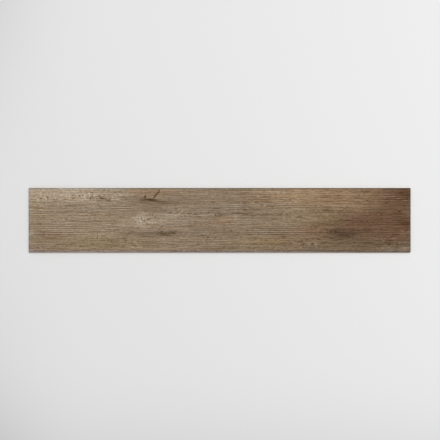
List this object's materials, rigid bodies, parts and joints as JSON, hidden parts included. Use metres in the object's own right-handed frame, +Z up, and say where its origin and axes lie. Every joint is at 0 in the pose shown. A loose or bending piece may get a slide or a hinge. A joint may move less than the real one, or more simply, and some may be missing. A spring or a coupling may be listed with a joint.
{
  "type": "wood look porcelain plank tile",
  "caption": "Long flat rectangular floor and wall tile of fired porcelain, with a printed wood grain face, eased edges and a ribbed back for mortar.",
  "frame": {"origin": "middle of the back, on the plane of the rib feet that meet the mortar bed", "axes": "+X along the plank and its grain, +Y across it, +Z up out of the printed face"},
  "size_m": [1.2, 0.203, 0.0095],
  "materials": {
    "printed_porcelain": "matte"
  },
  "bodies": {
    "root": {"plank_tile": "printed_porcelain"}
  },
  "joints": []
}
